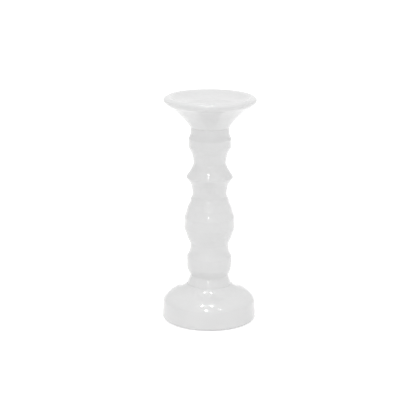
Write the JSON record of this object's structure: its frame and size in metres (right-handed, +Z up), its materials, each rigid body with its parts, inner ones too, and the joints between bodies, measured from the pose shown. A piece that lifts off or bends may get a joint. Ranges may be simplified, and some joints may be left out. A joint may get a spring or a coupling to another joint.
{
  "type": "candlestick",
  "caption": "Tall turned candlestick with a flared dished cup, a beaded stem and a domed round base with a felt underside, in gloss white enamel.",
  "frame": {"origin": "on the turning axis, at the underside of the felt pad, where the candlestick meets the table", "axes": "+Z up along the turning axis; +X and +Y are any two directions across it"},
  "size_m": [0.1058, 0.1058, 0.254],
  "materials": {
    "white_enamel": "thick gloss white enamel over turned wood",
    "zinc_steel": "bright zinc plate",
    "brass": "turned brass",
    "felt": "pressed wool felt"
  },
  "bodies": {
    "root": {"cup": "white_enamel", "stem": "white_enamel", "base": "white_enamel", "tie_rod": "zinc_steel", "washer": "zinc_steel", "hex_nut": "zinc_steel", "threaded_insert": "brass", "felt_pad": "felt"}
  },
  "joints": []
}
